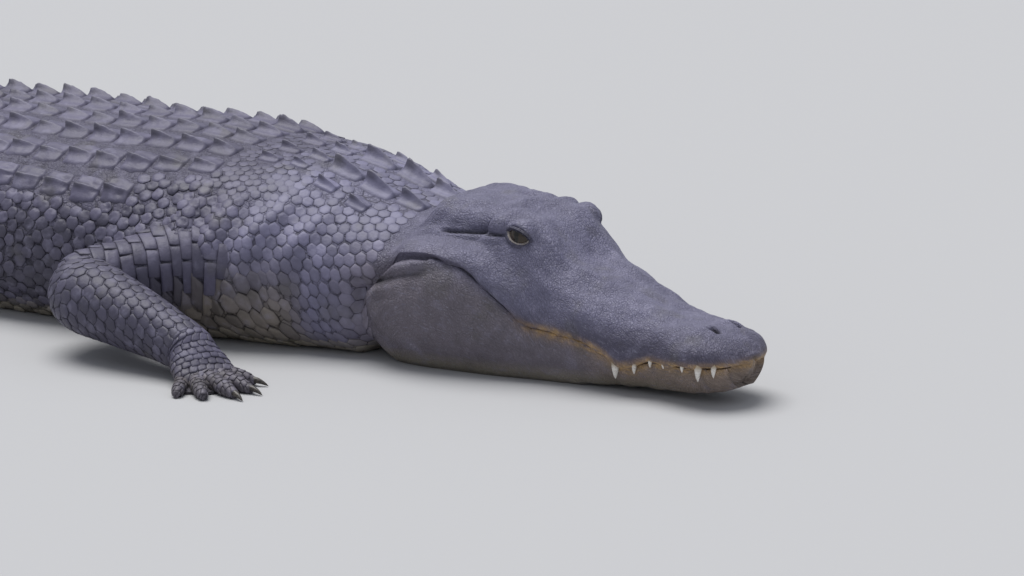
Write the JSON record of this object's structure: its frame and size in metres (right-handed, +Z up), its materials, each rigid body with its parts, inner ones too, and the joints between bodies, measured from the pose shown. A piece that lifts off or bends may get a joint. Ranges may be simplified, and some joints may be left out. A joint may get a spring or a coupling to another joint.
{
  "type": "american alligator",
  "caption": "Life-size still model of an adult American alligator lying on its belly, mouth closed, head turned a little to its right, legs folded beside the body and the tail laid in a slow curve.",
  "frame": {"origin": "on the floor under the middle of the chest and belly, on the flat underside of the front torso", "axes": "+X forward along the trunk, towards the head; +Y to the animal's left; +Z up"},
  "size_m": [3.0188, 0.9174, 0.2283],
  "materials": {
    "hide": "dry scaly skin, satin",
    "jaw_hide": "smooth jowl skin, satin",
    "eye": "wet, glossy"
  },
  "bodies": {
    "root": {"head": "hide", "lower_jaw": "jaw_hide", "eye_right": "eye", "eye_left": "eye", "neck": "hide", "torso_front": "hide", "torso_rear": "hide", "tail_base": "hide", "tail_middle": "hide", "tail_rear": "hide", "tail_tip": "hide", "fore_right_upper": "hide", "fore_right_lower": "hide", "fore_right_foot": "hide", "fore_left_upper": "hide", "fore_left_lower": "hide", "fore_left_foot": "hide", "hind_right_upper": "hide", "hind_right_lower": "hide", "hind_right_foot": "hide", "hind_left_upper": "hide", "hind_left_lower": "hide", "hind_left_foot": "hide"}
  },
  "joints": []
}
